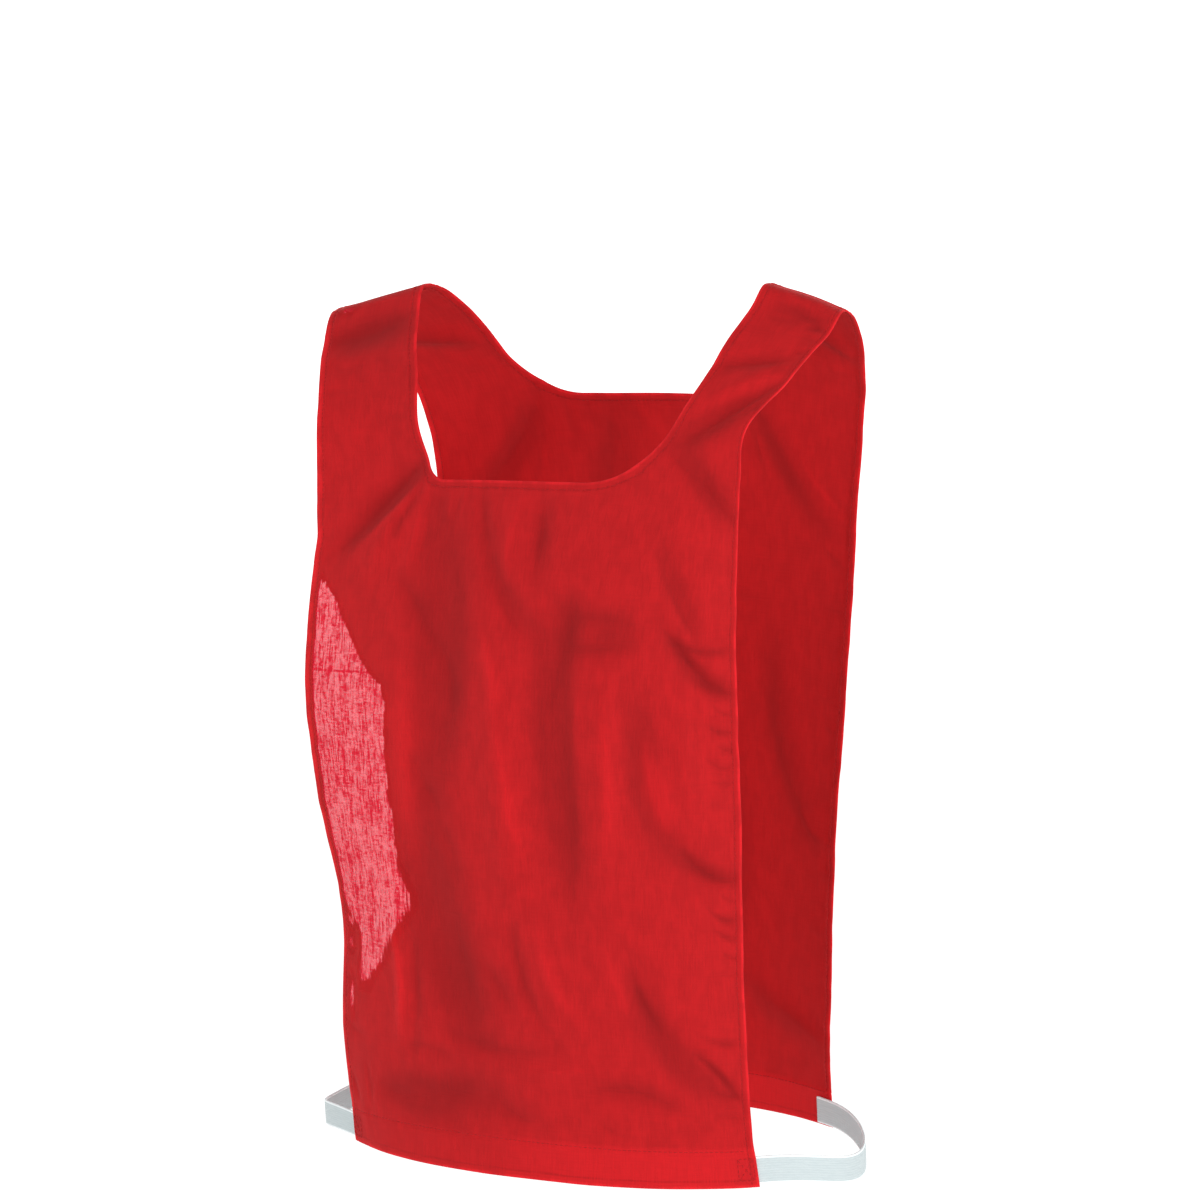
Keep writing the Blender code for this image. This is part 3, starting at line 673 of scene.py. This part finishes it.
def stitch_points(panel, path, inside):
    """Where the stitches along one path of the cut lie: middles, directions, normals and lengths."""
    path = np.array(path) * MM
    lengths = np.linalg.norm(np.diff(path, axis=0), axis=1)
    marks = np.concatenate([[0], np.cumsum(lengths)])
    fine = np.linspace(0, marks[-1], max(int(marks[-1] / MM), 2))
    x, t = np.interp(fine, marks, path[:, 0]), np.interp(fine, marks, path[:, 1])
    outer, inner, normal, *_ = surface(panel, x, t)
    line = inner if inside else outer
    normal = -normal if inside else normal
    arc = np.concatenate([[0], np.cumsum(np.linalg.norm(np.diff(line, axis=0), axis=1))])
    count = int(arc[-1] // STITCH_PITCH)
    if count < 1:
        return None
    starts = (np.arange(count) + STITCH_START) * arc[-1] / count
    ends = starts + STITCH_LENGTH

    def at(place, values):
        return np.stack([np.interp(place, arc, values[:, i]) for i in range(3)], -1)

    first, last, up = at(starts, line), at(ends, line), at((starts + ends) / 2, normal)
    return (first + last) / 2, last - first, up


def make_stitching(name, panel, paths, material):
    """All stitches of a panel, on its outer and its inner face, as one piece."""
    template, shape = stitch_template()
    points, faces = [], []
    for path in paths:
        for inside in (False, True):
            found = stitch_points(panel, path, inside)
            if found is None:
                continue
            for middle, reach, up in zip(*found):
                length = np.linalg.norm(reach)
                ahead = reach / length
                side = np.cross(up, ahead)
                side /= np.linalg.norm(side)
                up = np.cross(ahead, side)
                base = len(points) * len(template)
                points.append(middle + template @ np.array([ahead * length, side, up]))
                faces.extend([[base + k for k in face] for face in shape])
    piece = make_mesh(name, np.vstack(points).tolist(), faces, [material])
    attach(piece, "root")
    return piece


# In mm of the cut
STITCH_CLEAR = 1  # left free at a hem's ends
CROSS_CLEAR = 2  # left free at the ends of the bottom hem and the shoulder seam
ELASTIC_BOX = (152.6, 142.5, 556.5, 570.5)  # outer and inner side, top and bottom


def stitch_paths(panel):
    """The lines of stitches on a panel, in mm of its flat cut before the corners are rounded."""
    side = (HALF_WIDTH - HEM_STITCH) / MM
    bottom = (LENGTH - BOTTOM_STITCH) / MM
    neck = (panel.neck_depth + HEM_STITCH) / MM
    downs = np.linspace(STITCH_CLEAR, panel.neck_depth / MM, 30)
    inner = (strap_inner(panel, downs * MM) + HEM_STITCH) / MM
    turn = np.linspace(0, np.pi / 2, 6)[1:-1]
    corner_x = NECK_HALF / MM + HEM_STITCH / MM * np.cos(turn)
    corner_t = panel.neck_depth / MM + HEM_STITCH / MM * np.sin(turn)
    left = [*zip(inner, downs), *zip(corner_x, corner_t), (NECK_HALF / MM, neck)]
    right = [(-x, t) for x, t in left][::-1]
    end = LENGTH / MM - STITCH_CLEAR
    paths = [left + right, [(side, STITCH_CLEAR), (side, end)], [(-side, STITCH_CLEAR), (-side, end)]]
    paths.append([(CROSS_CLEAR - side, bottom), (side - CROSS_CLEAR, bottom)])
    if panel.face > 0:
        seam = SEAM_STITCH / MM
        ends = (HALF_WIDTH - STRAP_WIDTH) / MM + CROSS_CLEAR, HALF_WIDTH / MM - CROSS_CLEAR
        paths += [[(sign * x, seam) for x in ends] for sign in (-1, 1)]
    for sign in (-1, 1):  # the box that holds an elastic's end
        outer, inner, top, low = ELASTIC_BOX
        near, far = sign * outer, sign * inner
        paths.append([(near, top), (far, top), (far, low), (near, low), (near, top), (far, low)])
        paths.append([(near, low), (far, top)])
    return paths


# Elastic
ELASTIC_WIDTH = 18 * MM
ELASTIC_THICK = 1.2 * MM
ELASTIC_ABOVE_HEM = 1.5 * MM
ELASTIC_INSIDE = 15 * MM
ELASTIC_LEAVE = 6 * MM
ELASTIC_END_STEPS = 16
ELASTIC_HIP_STEPS = 120
ELASTIC_SAG = 10 * MM
ELASTIC_DEPTH = 1.25 * MM  # behind the hem's face
RIBS = 11
RIB_POINTS = 4
RIB_HEIGHT = 0.16 * MM
ELASTIC_PICK = 0.75  # mm from one cross thread to the next
SELVEDGE_DROP = 0.25 * MM
SELVEDGE = 0.8 * MM


def elastic_line(side, level, depth):
    """Points along one elastic at each level above the hem, each at its depth inside the outer face."""
    reach = np.linspace(-ELASTIC_INSIDE, ELASTIC_LEAVE, ELASTIC_END_STEPS)[:, None]
    across = np.broadcast_to(side * (HALF_WIDTH + reach), (len(reach), len(level)))
    down = np.broadcast_to(LENGTH - level, across.shape)
    deep = np.broadcast_to(depth, across.shape)[..., None]
    front = folded(FRONT, across, down) - deep * normals(FRONT, folded, across, down)
    back = (folded(BACK, across, down) - deep * normals(BACK, folded, across, down))[::-1]

    middle = np.array([HIP_MIDDLE, 0])
    axes = np.stack([side * (HIP_HALF_WIDTH - depth), HIP_HALF_DEPTH - depth], -1)
    ends = [(p[:, :2] - middle) / axes for p in (front[-1], back[0])]
    start, stop = [np.arctan2(end[:, 1], end[:, 0]) for end in ends]
    share = np.linspace(0, 1, ELASTIC_HIP_STEPS)[:, None]
    angle = start + (stop - start) * share
    hip = middle + axes * np.stack([np.cos(angle), np.sin(angle)], -1)
    share = share[..., None]
    ease_out, ease_in = (1 - share) ** 3, share**3
    plan = hip + (front[-1, :, :2] - hip[0]) * ease_out + (back[0, :, :2] - hip[-1]) * ease_in
    first, last = front[-1, :, 2:], back[0, :, 2:]
    height = first + (last - first) * share - ELASTIC_SAG * np.sin(np.pi * share) ** 2
    return np.concatenate([front[:-1], np.concatenate([plan, height], -1), back[1:]])


def make_elastic(name, node, side, material):
    count = RIBS * RIB_POINTS
    level = np.linspace(0, 1, count + 1)
    rib = RIB_HEIGHT * np.abs(np.sin(np.pi * RIBS * level))
    from_edge = np.minimum(level, 1 - level) * ELASTIC_WIDTH
    edge = SELVEDGE_DROP * (1 - np.clip(from_edge / SELVEDGE, 0, 1)) ** 2
    outer_depth = ELASTIC_DEPTH - rib + edge
    inner_depth = ELASTIC_DEPTH + ELASTIC_THICK + rib - edge
    levels = ELASTIC_ABOVE_HEM + ELASTIC_WIDTH * np.concatenate([level, level[::-1]])
    rings = elastic_line(side, levels, np.concatenate([outer_depth, inner_depth[::-1]]))
    walls, number = wall_faces(*rings.shape[:2])
    walls = walls[:, [0, 3, 2, 1]]  # these rings run the other way round
    caps = []
    for row, turned in ((number[0], True), (number[-1], False)):
        cap = np.stack([row[:count], row[1 : count + 1], row[::-1][1 : count + 1], row[::-1][:count]], -1)
        caps.append(cap[:, ::-1] if turned else cap)
    faces = np.vstack([walls] + caps)
    if side > 0:
        faces = faces[:, ::-1]
    arc = np.concatenate([[0], np.cumsum(np.linalg.norm(np.diff(rings[:, 0], axis=0), axis=1))])
    place = np.stack(np.broadcast_arrays(arc[:, None], levels - ELASTIC_ABOVE_HEM, 0.0), -1)
    place = place.reshape(-1, 3) / MM
    piece = make_mesh(name, rings.reshape(-1, 3).tolist(), faces.tolist(), [material], (("cut", place),))
    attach(piece, "root")
    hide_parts(node)


# ---------- materials


class Tree:
    """Makes a material's nodes. An input is a value or another node's output."""

    def __init__(self, name):
        self.material = bpy.data.materials.new(name)
        self.material.use_nodes = True
        self.nodes = self.material.node_tree.nodes
        self.links = self.material.node_tree.links
        self.nodes.clear()

    def make(self, kind, inputs=None, output=0, **settings):
        node = self.nodes.new("ShaderNode" + kind)
        for key, value in settings.items():
            setattr(node, key, value)
        for key, value in (inputs or {}).items():
            if isinstance(value, bpy.types.NodeSocket):
                self.links.new(value, node.inputs[key])
            else:
                node.inputs[key].default_value = value
        return node.outputs[output]

    def math(self, operation, a, b=0.0):
        return self.make("Math", {0: a, 1: b}, operation=operation)

    def times(self, a, b):
        return self.math("MULTIPLY", a, b)

    def plus(self, a, b):
        return self.math("ADD", a, b)

    def apart(self, a, b):
        return self.math("ABSOLUTE", self.math("SUBTRACT", a, b))

    def split(self, vector):
        return self.make("SeparateXYZ", {0: vector}).node.outputs

    def noise(self, vector, scale, detail=2.0, roughness=0.5):
        scaled = self.make("VectorMath", {0: vector, 1: scale}, operation="MULTIPLY")
        inputs = {"Vector": scaled, "Scale": 1.0, "Detail": detail, "Roughness": roughness}
        return self.make("TexNoise", inputs)

    def threads(self, cut, axis, pitch, length):
        """Noise that is the same all across each thread, and changes along it. Threads are pitch mm apart."""
        waver = self.noise(cut, DRIFT, 0.0)
        place = self.split(cut)
        across = self.plus(self.math("DIVIDE", place[axis], pitch), self.times(waver, THREAD_WAVER))
        number = self.times(self.math("FLOOR", across), THREAD_STEP)
        spot = self.make("CombineXYZ", {0: number, 1: place[1 - axis], 2: 0.5 + axis})
        return self.noise(spot, (1.0, 1 / length, 1.0), 1.0)

    def ranged(self, value, low, high, new_low, new_high):
        inputs = {"Value": value, "From Min": low, "From Max": high, "To Min": new_low, "To Max": new_high}
        return self.make("MapRange", inputs, interpolation_type="SMOOTHSTEP")

    def bump(self, height, strength, distance):
        inputs = {"Strength": strength, "Distance": distance, "Height": height}
        return self.make("Bump", inputs)

    def mix(self, share, a, b):
        """The colour a, with a share of the colour b. Both are a node's output or a screen colour."""
        ends = [c if isinstance(c, bpy.types.NodeSocket) else colour(*c) for c in (a, b)]
        return self.make("Mix", {0: share, 6: ends[0], 7: ends[1]}, 2, data_type="RGBA")

    def attribute(self, name, output):
        return self.make("Attribute", output=output, attribute_name=name)

    def finish(self, shader):
        node = self.nodes.new("ShaderNodeOutputMaterial")
        self.links.new(shader, node.inputs["Surface"])
        return self.material


def colour(red, green, blue):
    """A colour given as it looks on a screen, 0 to 255, as Blender's linear one."""
    values = np.array([red, green, blue]) / 255
    linear = np.where(values > 0.04045, ((values + 0.055) / 1.055) ** 2.4, values / 12.92)
    return (*[float(v) for v in linear], 1.0)


# Colours as they look on a screen
CLOTH_RED = (181, 22, 27)
CLOTH_DEEP = (172, 20, 25)
# painted shade, for the troughs of folds and creases and along the hem stitches
CLOTH_PAINTED_SHADE = (128, 14, 18)
# painted highlight, for the edges and the shoulder seam
CLOTH_HIGHLIGHT = (226, 30, 40)
# painted light on the bottom hem
HEM_PAINTED_LIGHT = (198, 24, 31)
# painted highlight on crease ridges
RIDGE_HIGHLIGHT = (218, 27, 34)
CLOTH_THIN = (236, 30, 66)
THIN_DEEP = (210, 24, 50)
CLOTH_GLOW = (246, 36, 50)
THIN_GLOW = (238, 34, 72)
THREAD_DEEP = (150, 17, 21)
THREAD_RED = (180, 22, 27)
ELASTIC_GREY = (172, 183, 185)
ELASTIC_PALE = (184, 193, 194)
ELASTIC_SIDE = (224, 230, 231)
# painted shade, for the grooves between the elastic's ribs
ELASTIC_GROOVE_SHADE = (134, 146, 150)

# From and to where a measure in mm changes a tone, and the tone's share at those two places
# painted shade in the troughs of the large folds and of the creases
FOLD_PAINTED_SHADE = -2.8, 0.4, 0.50, 0.0
CREASE_PAINTED_SHADE = -2.0, 0.0, 0.64, 0.0
# painted highlight on crease ridges
CREASE_HIGHLIGHT = 0.1, 1.5, 0.0, 0.5
# painted light on the bottom hem, stronger towards the wearer's left where the key light falls
HEM_PAINTED_LIGHT_SIDE = -40, 40, 0.1, 0.8
# painted shade of the puckers along the hem stitches, weaker on the wearer's right
STITCH_PAINTED_SHADE = 0.2, 1.1, 0.45, 0.0
STITCH_SIDE = -150, -120, 0.3, 1.0
# painted highlight along the edges, wider on the wearer's right beside the thin cloth
RIM_WIDTH = -150, -120, 6.0, 2.4  # here a width in mm and not a share
RIM_START = 0.9
RIM_SHARE = 0.8
# painted highlight along the shoulder seam
SEAM_HIGHLIGHT = 4.5, 8.5, 0.45, 0.0
LINE_CLOSED = 0.3, 1.2, 0.80, 1.0  # the pressed line has smaller gaps
SELVEDGE_LIGHT = 7.3, 8.2, 0, 1  # from the elastic's middle
# The same for a noise
MOTTLE_RED = 0.36, 0.64, 0.0, 1.0
# makes the painted highlight along the edges uneven
MOTTLE_RIM = 0.40, 0.58, 0.45, 1.0
# makes the painted shade along the stitches uneven
SLUB_STITCH = 0.4, 0.6, 1.0, 0.3
SLUB_SHADE = 0.38, 0.62, 0.94, 1.05
# painted shade in the grooves between the elastic's ribs
RIB_GROOVE_SHADE = 0.0, 0.5, 0.25, 0.0
THIN_FRAYED = 0.98, 1.32, 0.0, 1.0
GAP_COLOUR = 0.40, 0.58, 0.0, 1.0
GAP_OPEN = 0.39, 0.61, 0.0, 0.47
INNER_OPEN = 0.33

# How fine a noise is along each axis of the cut, to a mm
MOTTLE = (0.11, 0.06, 1.0)
WARP = (1.0, 0.07, 1.0)
WEFT = (0.06, 0.9, 1.0)
LOOSE = (0.14, 0.016, 1.0)
DRIFT = (0.03, 0.03, 1.0)
ELASTIC_PATCHES = (0.12, 0.5, 1)
ELASTIC_FUZZ = (3, 3, 1)
TWIST = (2600, 2600, 2600)  # to a metre

# Shares of a mixture
WARP_SHARE = 0.62
LONG_GAPS = 0.48
SHORT_GAPS = 0.30
LOOSE_GAPS = 0.22
FRAYING = 1.3
GLOW_SHARE = 0.3
THIN_GLOW_SHARE = 0.42
PICK_SHARE = 0.3
FUZZ_SHARE = 0.5

# The threads of the see-through cloth, in mm
THREAD_ACROSS = 0.95
THREAD_DOWN = 1.05
LONG_GAP = 8.0
SHORT_GAP = 4.0
THREAD_STEP = 1.37  # how far apart in the noise one thread is from the next
THREAD_WAVER = 3.0


def cotton_tones(tree, cut, edge, slub):
    """The cotton's colour: mottled, with painted shade in the troughs of folds and creases and along the hem
    stitches, and painted light on crease ridges, the edges, the shoulder seam and the bottom hem.
    """
    across, down = tree.split(cut)[:2]
    height, crease, bottom = [tree.attribute(title, 2) for title in ("height", "crease", "bottom")]
    mottle = tree.noise(cut, MOTTLE, roughness=0.6)
    base = tree.mix(tree.ranged(mottle, *MOTTLE_RED), CLOTH_DEEP, CLOTH_RED)
    # painted shade in the troughs of the large folds and of the creases
    base = tree.mix(tree.ranged(height, *FOLD_PAINTED_SHADE), base, CLOTH_PAINTED_SHADE)
    base = tree.mix(tree.ranged(crease, *CREASE_PAINTED_SHADE), base, CLOTH_PAINTED_SHADE)
    # painted light on the bottom hem, stronger towards the wearer's left
    base = tree.mix(tree.times(bottom, tree.ranged(across, *HEM_PAINTED_LIGHT_SIDE)), base, HEM_PAINTED_LIGHT)
    # painted shade of the puckers along the hem stitch line, uneven and weaker on the wearer's right
    stitch_shade = tree.ranged(tree.apart(edge, HEM_STITCH / MM), *STITCH_PAINTED_SHADE)
    stitch_shade = tree.times(stitch_shade, tree.ranged(slub, *SLUB_STITCH))
    base = tree.mix(tree.times(stitch_shade, tree.ranged(across, *STITCH_SIDE)), base, CLOTH_PAINTED_SHADE)
    # painted highlight along the edges, wider on the wearer's right
    rim = tree.ranged(edge, RIM_START, tree.ranged(across, *RIM_WIDTH), RIM_SHARE, 0.0)
    base = tree.mix(tree.times(rim, tree.ranged(mottle, *MOTTLE_RIM)), base, CLOTH_HIGHLIGHT)
    # painted highlight on crease ridges
    base = tree.mix(tree.ranged(crease, *CREASE_HIGHLIGHT), base, RIDGE_HIGHLIGHT)
    # painted highlight along the shoulder seam
    return tree.mix(tree.ranged(down, *SEAM_HIGHLIGHT), base, CLOTH_HIGHLIGHT)


def thin_threads(tree, cut):
    """How thin the cloth is, with a frayed border, and how wide the gaps between its threads are: long ones
    down the cloth, short ones across it, in closer and looser patches."""
    fine = tree.threads(cut, 0, THREAD_ACROSS, LONG_GAP)
    cross = tree.threads(cut, 1, THREAD_DOWN, SHORT_GAP)
    loose = tree.noise(cut, LOOSE)
    thin = tree.ranged(tree.plus(tree.attribute("thin", 2), tree.times(fine, FRAYING)), *THIN_FRAYED)
    gaps = tree.plus(tree.times(fine, LONG_GAPS), tree.times(cross, SHORT_GAPS))
    gaps = tree.plus(gaps, tree.times(loose, LOOSE_GAPS))
    from_line = tree.apart(tree.split(cut)[1], PRESSED_LINE)
    return thin, tree.times(gaps, tree.ranged(from_line, *LINE_CLOSED))


def cotton_material(name, see_through):
    """Plain-woven cotton. Where it is thin, light and what lies behind show between its threads."""
    tree = Tree(name)
    cut, edge = tree.attribute("cut", 1), tree.attribute("edge", 2)
    warp, weft = [tree.noise(cut, scale, 1.0, 0.6) for scale in (WARP, WEFT)]
    slub = tree.plus(tree.times(warp, WARP_SHARE), tree.times(weft, 1 - WARP_SHARE))
    base = cotton_tones(tree, cut, edge, slub)
    if see_through:
        thin, gaps = thin_threads(tree, cut)
        base = tree.mix(thin, base, tree.mix(tree.ranged(gaps, *GAP_COLOUR), THIN_DEEP, CLOTH_THIN))
    shade = tree.ranged(slub, *SLUB_SHADE)
    bumped = tree.bump(slub, strength=0.3, distance=0.5 * MM)
    surface_inputs = {
        "Base Color": tree.make("VectorMath", {0: base, "Scale": shade}, operation="SCALE"),
        "Roughness": 0.88,
        "Specular IOR Level": 0.25,
        "Sheen Weight": 0.12,
        "Sheen Roughness": 0.45,
        "Sheen Tint": (1.0, 0.35, 0.33, 1.0),
        "Normal": bumped,
    }
    glow_colour = colour(*(THIN_GLOW if see_through else CLOTH_GLOW))
    glow = tree.make("BsdfTranslucent", {"Color": glow_colour, "Normal": bumped})
    if see_through:
        # the outer layer has the gaps, and the inner one lets some of what lies behind it through
        opening = {0: tree.attribute("layer", 2), 2: tree.ranged(gaps, *GAP_OPEN), 3: INNER_OPEN}
        alpha = tree.math("SUBTRACT", 1.0, tree.times(tree.make("Mix", opening), thin))
        surface_inputs["Alpha"] = alpha
        through = tree.make("BsdfTransparent", {"Color": (1, 1, 1, 1)})
        glow = tree.make("MixShader", {0: alpha, 1: through, 2: glow})
    lit = tree.make("BsdfPrincipled", surface_inputs)
    glow_share = THIN_GLOW_SHARE if see_through else GLOW_SHARE
    return tree.finish(tree.make("MixShader", {0: glow_share, 1: lit, 2: glow}))


def thread_material():
    tree = Tree("red_sewing_thread")
    place = tree.make("TexCoord", output=3)
    twist = tree.noise(place, TWIST, 1.0)
    inputs = {
        "Base Color": tree.mix(twist, THREAD_DEEP, THREAD_RED),
        "Roughness": 0.7,
        "Specular IOR Level": 0.2,
        "Normal": tree.bump(twist, strength=0.4, distance=0.1 * MM),
    }
    return tree.finish(tree.make("BsdfPrincipled", inputs))


def elastic_material():
    tree = Tree("white_woven_elastic")
    cut = tree.attribute("cut", 1)
    along, level = tree.split(cut)[:2]
    width = ELASTIC_WIDTH / MM
    selvedge = tree.ranged(tree.apart(level, width / 2), *SELVEDGE_LIGHT)
    picks = tree.math("SINE", tree.times(along, 2 * np.pi / ELASTIC_PICK))
    ribs = tree.math("ABSOLUTE", tree.math("SINE", tree.times(level, np.pi * RIBS / width)))
    base = tree.mix(tree.noise(cut, ELASTIC_PATCHES), ELASTIC_GREY, ELASTIC_PALE)
    base = tree.mix(selvedge, base, ELASTIC_SIDE)
    fuzz = tree.noise(cut, ELASTIC_FUZZ, 1.0)
    relief = tree.plus(tree.times(picks, PICK_SHARE), tree.times(fuzz, FUZZ_SHARE))
    inputs = {
        # painted shade in the grooves between the ribs
        "Base Color": tree.mix(tree.ranged(ribs, *RIB_GROOVE_SHADE), base, ELASTIC_GROOVE_SHADE),
        "Roughness": 0.62,
        "Specular IOR Level": 0.4,
        "Sheen Weight": 0.12,
        "Normal": tree.bump(relief, strength=0.4, distance=0.2 * MM),
    }
    return tree.finish(tree.make("BsdfPrincipled", inputs))


def paper_material():
    """The studio's pale paper. Its wall is lit from behind, more so higher up."""
    tree = Tree("pale_paper")
    place = tree.make("NewGeometry")
    height = tree.make("SeparateXYZ", {0: place}, output=2)
    glow = tree.ranged(height, FLOOR_LEVEL, 0.0, *PAPER_GLOW)
    lit = tree.make("BsdfDiffuse", {"Color": PAPER_GREY})
    backlit = tree.make("Emission", {"Color": (1, 1, 1, 1), "Strength": glow})
    tree.material.cycles.emission_sampling = "NONE"
    return tree.finish(tree.make("AddShader", {0: lit, 1: backlit}))


# ---------- studio


FLOOR_LEVEL = -1.3
FLOOR_RADIUS = 3.6
FLOOR_SIDES = 96
SWEEP_RADIUS = 2.2
SWEEP_STEPS = 13
WALL_TOP = 3.4
PAPER_GLOW = 0.82, 1.11  # at the floor's level and at the part's
PAPER_GREY = (0.3, 0.3, 0.3, 1)


def make_studio():
    """A pale round floor that sweeps up into a wall on all sides."""
    profile = [(FLOOR_RADIUS / 2, FLOOR_LEVEL)]
    for a in np.linspace(0, np.pi / 2, SWEEP_STEPS):
        radius, rise = FLOOR_RADIUS + SWEEP_RADIUS * np.sin(a), SWEEP_RADIUS * (1 - np.cos(a))
        profile.append((radius, FLOOR_LEVEL + rise))
    profile.append((FLOOR_RADIUS + SWEEP_RADIUS, WALL_TOP))
    turn = np.arange(FLOOR_SIDES) * 2 * np.pi / FLOOR_SIDES
    points = [(0.0, 0.0, FLOOR_LEVEL)]
    for radius, height in profile:
        points += [(radius * np.cos(a), radius * np.sin(a), height) for a in turn]
    faces = [[0, 1 + k, 1 + (k + 1) % FLOOR_SIDES] for k in range(FLOOR_SIDES)]
    faces += (wall_faces(len(profile), FLOOR_SIDES)[0] + 1).tolist()
    floor = make_mesh("pale_floor", points, faces, [paper_material()])


LIGHT_TARGET = Vector((0, 0, -0.25))


def area_light(name, place, size, power):
    light = bpy.data.lights.new(name, "AREA")
    light.shape, light.size, light.energy = "DISK", size, power
    lamp = add_object(name, light)
    lamp.location = place
    lamp.rotation_euler = (LIGHT_TARGET - Vector(place)).to_track_quat("-Z", "Y").to_euler()


def make_lights():
    area_light("key", (2.3, -1.40, 0.40), 0.8, 42)
    area_light("fill", (-2.7, -1.0, 0.1), 1.5, 8)
    area_light("top", (-0.2, -0.9, 2.1), 0.9, 4)
    area_light("behind", (-1.2, 2.3, 0.6), 1.4, 16)
    world = bpy.data.worlds.new("studio")
    world.use_nodes = True
    background = world.node_tree.nodes["Background"]
    background.inputs["Color"].default_value = (1, 1, 1, 1)
    background.inputs["Strength"].default_value = 0.3
    bpy.context.scene.world = world


CAMERA_TURN = 26.0
CAMERA_RISE = 5.0
CAMERA_AWAY = 2.2
CAMERA_TARGET = Vector((0, 0, -0.190))


def make_camera():
    turn, rise = np.radians(CAMERA_TURN), np.radians(CAMERA_RISE)
    back = Vector((np.sin(turn) * np.cos(rise), -np.cos(turn) * np.cos(rise), np.sin(rise)))
    camera = add_object("camera", bpy.data.cameras.new("camera"))
    camera.data.sensor_width = 36
    camera.data.lens = 104.3
    camera.data.shift_x = 0.005
    camera.data.clip_end = 50
    camera.location = CAMERA_TARGET + back * CAMERA_AWAY
    camera.rotation_euler = (-back).to_track_quat("-Z", "Y").to_euler()
    bpy.context.scene.camera = camera
    bpy.context.scene.view_settings.view_transform = "Standard"


def main():
    make_studio()
    make_lights()
    make_camera()

    cottons = [cotton_material("red_cotton_cloth", False), cotton_material("red_cotton_thin", True)]
    thread, elastic = thread_material(), elastic_material()
    for panel in (FRONT, BACK):
        cloth = make_panel(panel, cottons)
        side = panel.node.split("_")[0]
        stitching = make_stitching(side + "_stitching", panel, stitch_paths(panel), thread)
    make_elastic("left_elastic", "elastic_left", 1, elastic)
    make_elastic("right_elastic", "elastic_right", -1, elastic)


main()
